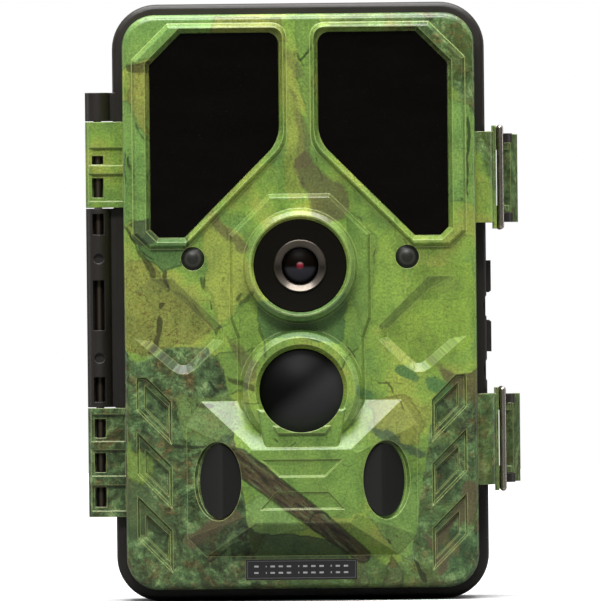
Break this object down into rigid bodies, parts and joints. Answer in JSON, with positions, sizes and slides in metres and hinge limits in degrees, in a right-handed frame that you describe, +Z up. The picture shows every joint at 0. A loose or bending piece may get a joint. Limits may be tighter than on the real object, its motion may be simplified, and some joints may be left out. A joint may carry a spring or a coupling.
{
  "type": "trail camera",
  "caption": "Camouflaged trail camera: a hinged front with infrared windows, lens and motion sensors closes on a black battery case with two wire latches.",
  "frame": {"origin": "mouth of the tripod socket in the rear case's bottom face", "axes": "+Z up along the height, -Y out of the lens, +X to the right seen from the front"},
  "size_m": [0.1018, 0.0756, 0.14],
  "materials": {
    "camo_plastic": "leaf camouflage print on moulded plastic",
    "black_plastic": "satin moulded plastic",
    "tray_plastic": "moulded plastic",
    "ir_filter": "infrared-pass acrylic, smooth",
    "pir_plastic": "satin polyethylene lens",
    "lens_glass": "coated glass",
    "clear_window": "clear acrylic",
    "steel": "plain steel",
    "nickel": "nickel plate",
    "brass": "turned brass",
    "rubber": "soft rubber",
    "board": "solder-masked laminate",
    "led_epoxy": "clear epoxy",
    "cell_wrap": "printed sleeve on a steel can",
    "wire": "insulated wire",
    "grey_plastic": "moulded plastic",
    "screen": "display glass",
    "label": "printed label"
  },
  "bodies": {
    "case": {"rear_case": "black_plastic", "hinge_pin": "steel", "case_gasket": "rubber", "battery_tray": "tray_plastic", "battery_cells": "cell_wrap", "battery_springs": "nickel", "battery_contacts": "nickel", "tray_screws": "steel", "battery_leads": "wire", "tripod_insert": "brass", "dc_jack": "grey_plastic"},
    "cover": {"front_cover": "camo_plastic", "label_plate": "label", "ir_window_right": "ir_filter", "ir_window_left": "ir_filter", "ir_board_right": "board", "ir_board_left": "board", "ir_leds": "led_epoxy", "lens_mask": "ir_filter", "lens_barrel": "nickel", "lens_front_element": "lens_glass", "lens_holder": "tray_plastic", "filter_coil": "nickel", "image_board": "board", "image_sensor": "grey_plastic", "pir_lens_centre": "pir_plastic", "pir_lens_right": "pir_plastic", "pir_lens_left": "pir_plastic", "pir_sensors": "nickel", "pir_boards": "board", "light_sensor_dome": "lens_glass", "status_lamp_dome": "lens_glass", "tact_switches": "tray_plastic", "inner_panel": "grey_plastic", "panel_screws": "steel", "main_board": "board", "lcd_screen": "screen", "lcd_window": "clear_window", "mode_switch_body": "tray_plastic", "sd_slot": "nickel", "usb_socket": "nickel", "speaker": "tray_plastic", "microphone": "tray_plastic"},
    "jack_plug": {"jack_plug": "rubber"},
    "filter": {"ir_cut_filter": "lens_glass"},
    "mode_knob": {"mode_switch": "grey_plastic"},
    "memory_card": {"sd_card": "grey_plastic"},
    "lever_upper": {"latch_lever_upper": "camo_plastic"},
    "lever_lower": {"latch_lever_lower": "camo_plastic"},
    "bail_upper": {"latch_bail_upper": "steel"},
    "bail_lower": {"latch_bail_lower": "steel"},
    "key_up": {"key_up": "grey_plastic"},
    "key_down": {"key_down": "grey_plastic"},
    "key_left": {"key_left": "grey_plastic"},
    "key_right": {"key_right": "grey_plastic"},
    "key_ok": {"key_ok": "grey_plastic"},
    "key_menu": {"key_menu": "grey_plastic"}
  },
  "joints": [
    {"name": "cover_hinge", "type": "hinge", "parent": "case", "child": "cover", "pos_m": [-0.0472, -0.018, 0.07], "axis": [0, 0, -1], "range_deg": [0, 120]},
    {"name": "upper_lever_hinge", "type": "hinge", "parent": "case", "child": "lever_upper", "pos_m": [0.0473, -0.004, 0.09865], "axis": [0, 0, -1], "range_deg": [0, 140]},
    {"name": "upper_bail_hinge", "type": "hinge", "parent": "lever_upper", "child": "bail_upper", "pos_m": [0.0471, 0.0015, 0.09865], "axis": [0, 0, -1], "range_deg": [-155, 0]},
    {"name": "lower_lever_hinge", "type": "hinge", "parent": "case", "child": "lever_lower", "pos_m": [0.0473, -0.004, 0.03735], "axis": [0, 0, -1], "range_deg": [0, 140]},
    {"name": "lower_bail_hinge", "type": "hinge", "parent": "lever_lower", "child": "bail_lower", "pos_m": [0.0471, 0.0015, 0.03735], "axis": [0, 0, -1], "range_deg": [-155, 0]},
    {"name": "key_up_press", "type": "slide", "parent": "cover", "child": "key_up", "axis": [0, -1, 0], "range_m": [0, 0.0004]},
    {"name": "key_down_press", "type": "slide", "parent": "cover", "child": "key_down", "axis": [0, -1, 0], "range_m": [0, 0.0004]},
    {"name": "key_left_press", "type": "slide", "parent": "cover", "child": "key_left", "axis": [0, -1, 0], "range_m": [0, 0.0004]},
    {"name": "key_right_press", "type": "slide", "parent": "cover", "child": "key_right", "axis": [0, -1, 0], "range_m": [0, 0.0004]},
    {"name": "key_ok_press", "type": "slide", "parent": "cover", "child": "key_ok", "axis": [0, -1, 0], "range_m": [0, 0.0004]},
    {"name": "key_menu_press", "type": "slide", "parent": "cover", "child": "key_menu", "axis": [0, -1, 0], "range_m": [0, 0.0004]},
    {"name": "mode_slide", "type": "slide", "parent": "cover", "child": "mode_knob", "axis": [1, 0, 0], "range_m": [-0.0025, 0.0025]},
    {"name": "card_slide", "type": "slide", "parent": "cover", "child": "memory_card", "axis": [0, 0, -1], "range_m": [0, 0.012]},
    {"name": "filter_slide", "type": "slide", "parent": "cover", "child": "filter", "axis": [1, 0, 0], "range_m": [0, 0.0039]},
    {"name": "plug_slide", "type": "slide", "parent": "case", "child": "jack_plug", "axis": [0, 0, -1], "range_m": [0, 0.008]}
  ],
  "couplings": [
    {"joint": "upper_bail_hinge", "follows": "upper_lever_hinge", "ratio": -1.1},
    {"joint": "lower_bail_hinge", "follows": "lower_lever_hinge", "ratio": -1.1}
  ]
}
